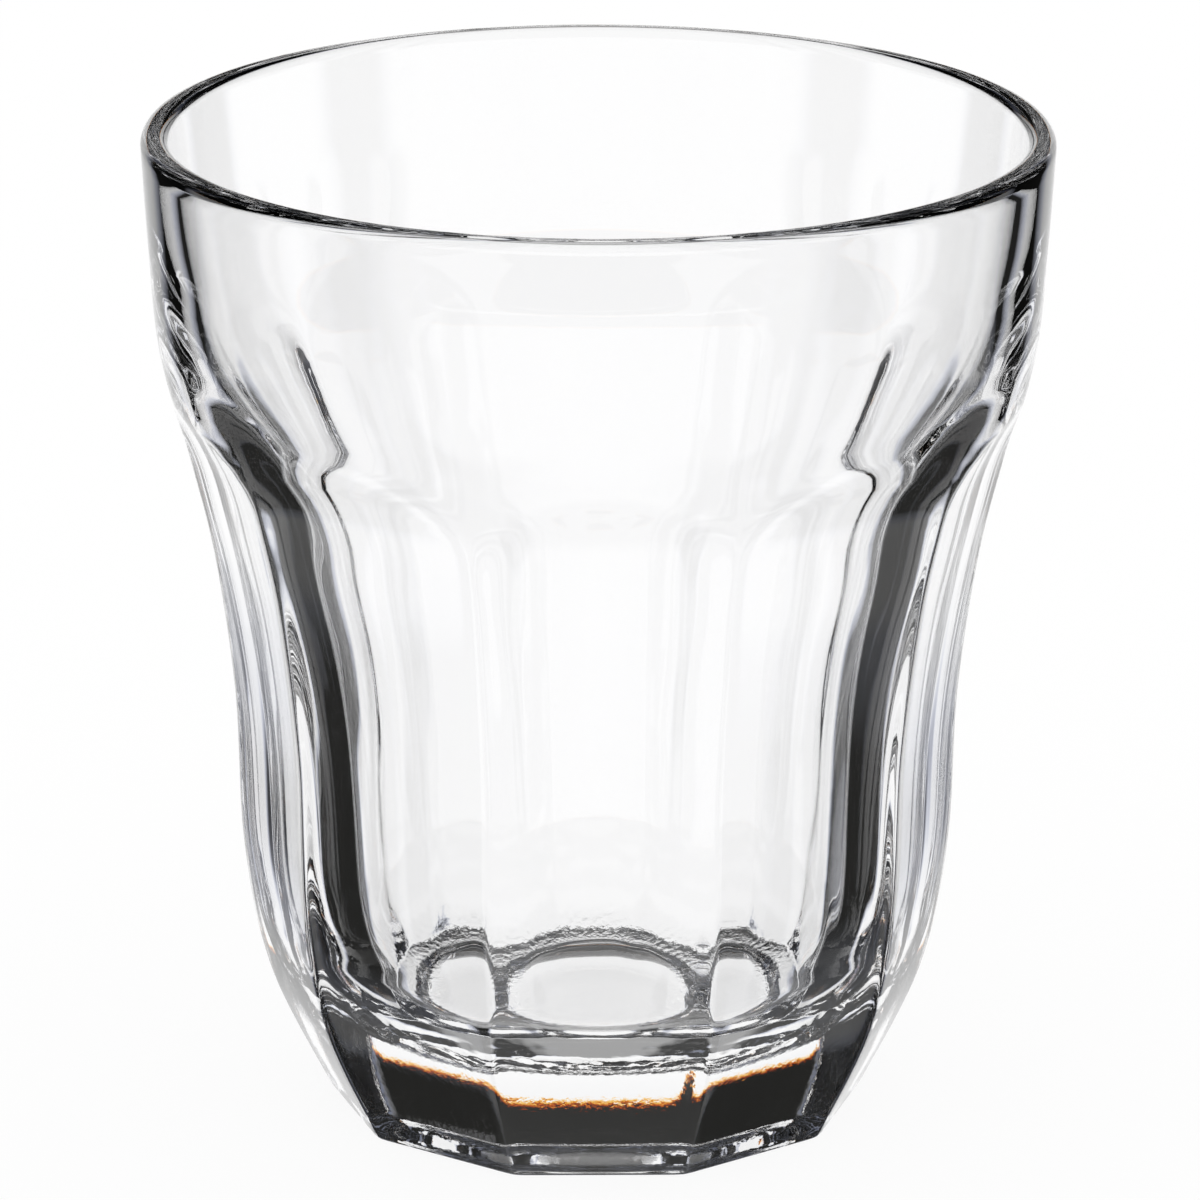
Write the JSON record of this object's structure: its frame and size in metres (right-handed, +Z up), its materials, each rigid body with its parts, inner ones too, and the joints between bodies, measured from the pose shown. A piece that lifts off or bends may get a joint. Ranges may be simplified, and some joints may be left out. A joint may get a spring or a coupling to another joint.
{
  "type": "tasting glass",
  "caption": "Small clear pressed-glass tumbler with a thick faceted foot, a drawn-in waist and a round flared bowl with a smooth lip, for tasting and serving drinks.",
  "frame": {"origin": "centre of the glass at the level of the face it stands on", "axes": "+Z up along the glass's axis towards the rim, and the middle of one facet faces -Y"},
  "size_m": [0.0732, 0.0732, 0.0819],
  "materials": {
    "clear_glass": "clear, smooth, fire-polished lip"
  },
  "bodies": {
    "root": {"glass_body": "clear_glass"}
  },
  "joints": []
}
